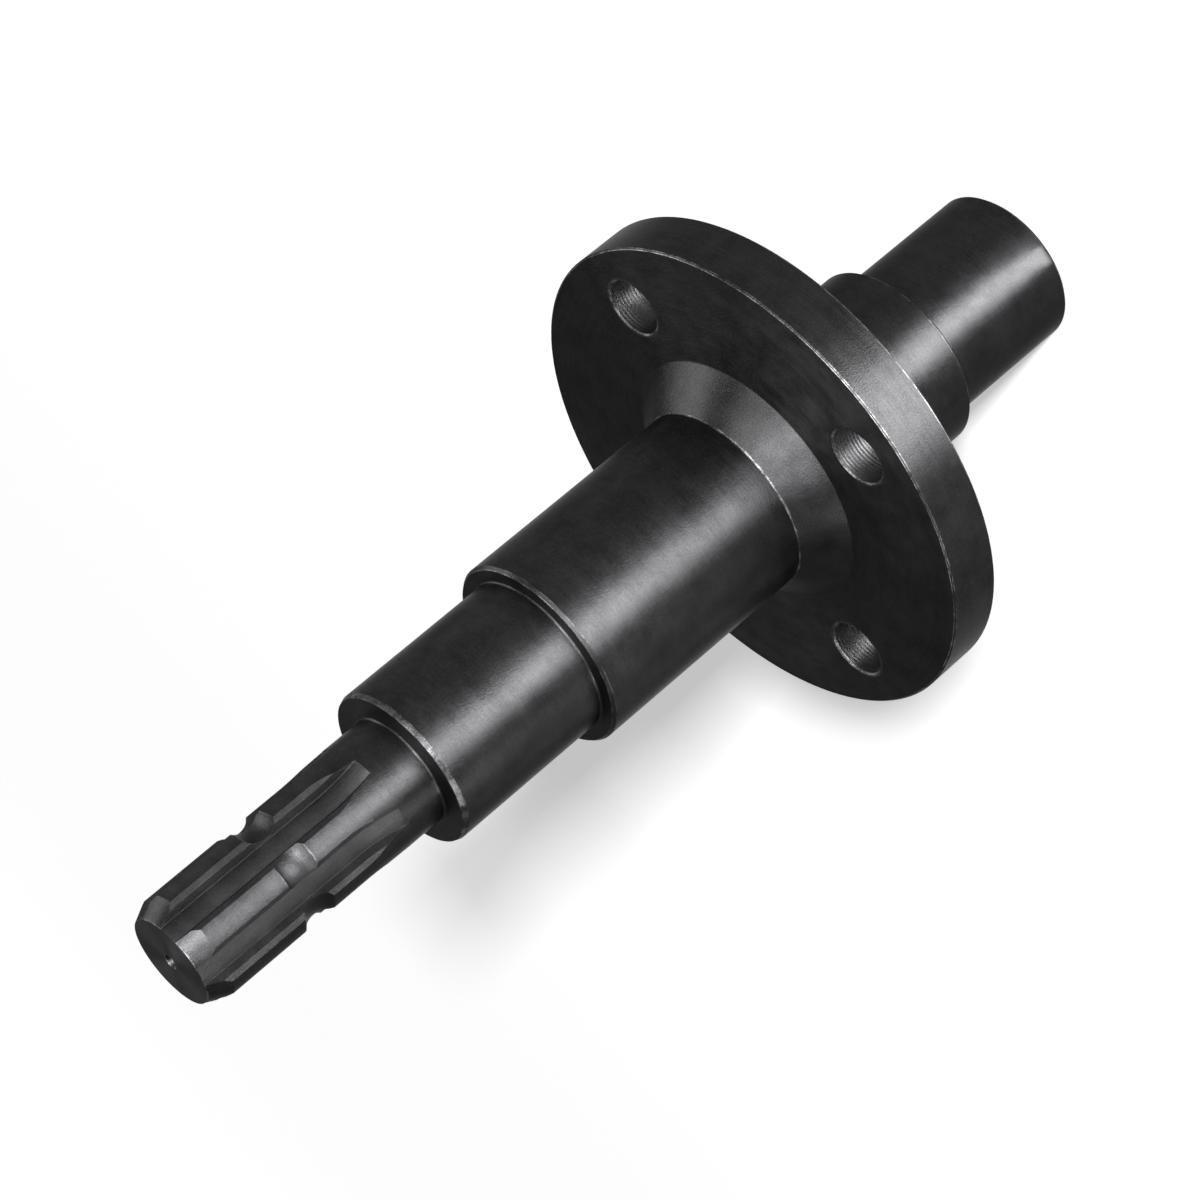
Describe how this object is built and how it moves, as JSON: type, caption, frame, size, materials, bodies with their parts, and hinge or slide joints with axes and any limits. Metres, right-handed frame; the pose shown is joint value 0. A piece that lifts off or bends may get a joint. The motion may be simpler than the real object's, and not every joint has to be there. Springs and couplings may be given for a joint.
{
  "type": "splined flange shaft",
  "caption": "One-piece steel drive shaft: splined, chamfered nose with a locking groove, stepped bearing seats, and a round bolted flange.",
  "frame": {"origin": "centre of the rear journal's end face, which the part stands on", "axes": "+Z along the shaft's axis from the rear journal to the splined nose; +X through the middle of one bolt hole"},
  "size_m": [0.158, 0.158, 0.337],
  "materials": {
    "black_steel": "satin black-oxide steel with fine turning marks"
  },
  "bodies": {
    "root": {"splined_shaft": "black_steel"}
  },
  "joints": []
}
